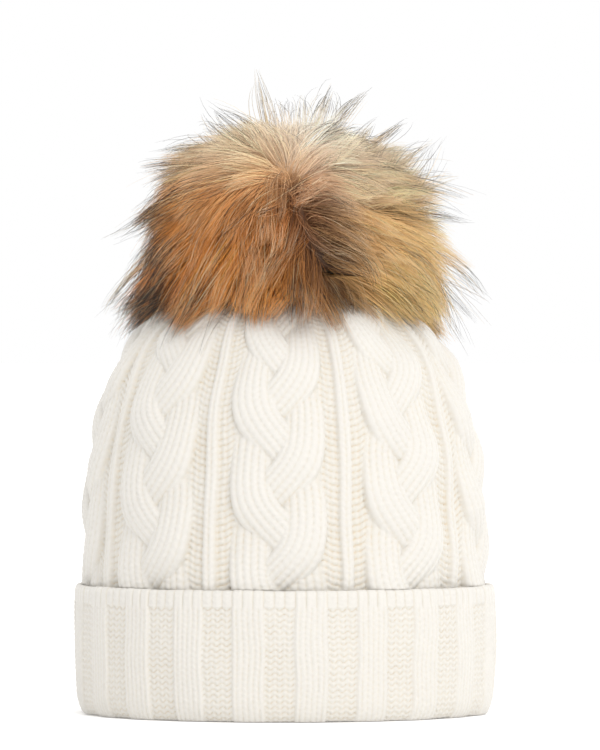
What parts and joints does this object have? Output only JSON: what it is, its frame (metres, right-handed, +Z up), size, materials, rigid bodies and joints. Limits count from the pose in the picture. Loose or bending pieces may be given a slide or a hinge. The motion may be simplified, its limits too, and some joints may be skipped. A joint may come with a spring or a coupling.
{
  "type": "pom pom beanie",
  "caption": "Cable-knit winter beanie with a turned-up ribbed cuff and a large fur pom pom that snaps on to the crown.",
  "frame": {"origin": "centre of the cuff's lowest ring, where the beanie stands", "axes": "+Z up towards the pom pom, +Y towards the back seam, +X to the wearer's left, so the front faces -Y"},
  "size_m": [0.2039, 0.2141, 0.298],
  "materials": {
    "rib_knit": "creamy white thick wool rib, soft and matt with fine fuzz",
    "cable_knit": "creamy white thick wool cable knit, soft and matt with fine fuzz",
    "sewing_yarn": "plied cream wool yarn",
    "thread": "twisted sewing thread",
    "label_tape": "blank woven satin tape",
    "felt": "pressed wool felt",
    "snap_metal": "worn antique brass",
    "spring_wire": "drawn spring wire",
    "leather": "brown suede leather",
    "fur": "long soft fur, brown at the roots, tan and cream towards the ends, with scattered black tips",
    "stuffing": "loose polyester fibre"
  },
  "bodies": {
    "cuff": {"folded_cuff": "rib_knit", "cuff_seam_yarn": "sewing_yarn"},
    "cap": {"knit_cap": "cable_knit", "back_seam_yarn": "sewing_yarn", "crown_gather_yarn": "sewing_yarn", "inner_label": "label_tape", "label_stitching_left": "thread", "label_stitching_right": "thread", "crown_patch": "felt", "patch_stitching": "thread"},
    "socket": {"snap_cap": "snap_metal", "snap_socket": "snap_metal"},
    "spring": {"snap_spring": "spring_wire"},
    "stud": {"snap_stud": "snap_metal", "stud_post": "snap_metal", "pom_base": "leather"},
    "pom": {"fur_pelt": "fur", "pom_stuffing": "stuffing", "pom_gather_thread": "thread"}
  },
  "joints": [
    {"name": "cuff_unfold", "type": "slide", "parent": "cuff", "child": "cap", "axis": [0, 0, 1], "range_m": [0, 0.052]},
    {"name": "crown_nod", "type": "hinge", "parent": "cap", "child": "socket", "pos_m": [0, 0, 0.2], "axis": [1, 0, 0], "range_deg": [-5, 5], "stiffness_Nm_per_rad": 1.2},
    {"name": "snap_turn", "type": "hinge", "parent": "socket", "child": "spring", "pos_m": [0, 0, 0.206], "axis": [0, 0, 1], "continuous": true},
    {"name": "pom_unsnap", "type": "slide", "parent": "spring", "child": "stud", "axis": [0, 0, 1], "range_m": [0, 0.06]},
    {"name": "pom_sway", "type": "hinge", "parent": "stud", "child": "pom", "pos_m": [0, 0, 0.21], "axis": [0, 1, 0], "range_deg": [-5, 5], "stiffness_Nm_per_rad": 1.2}
  ]
}
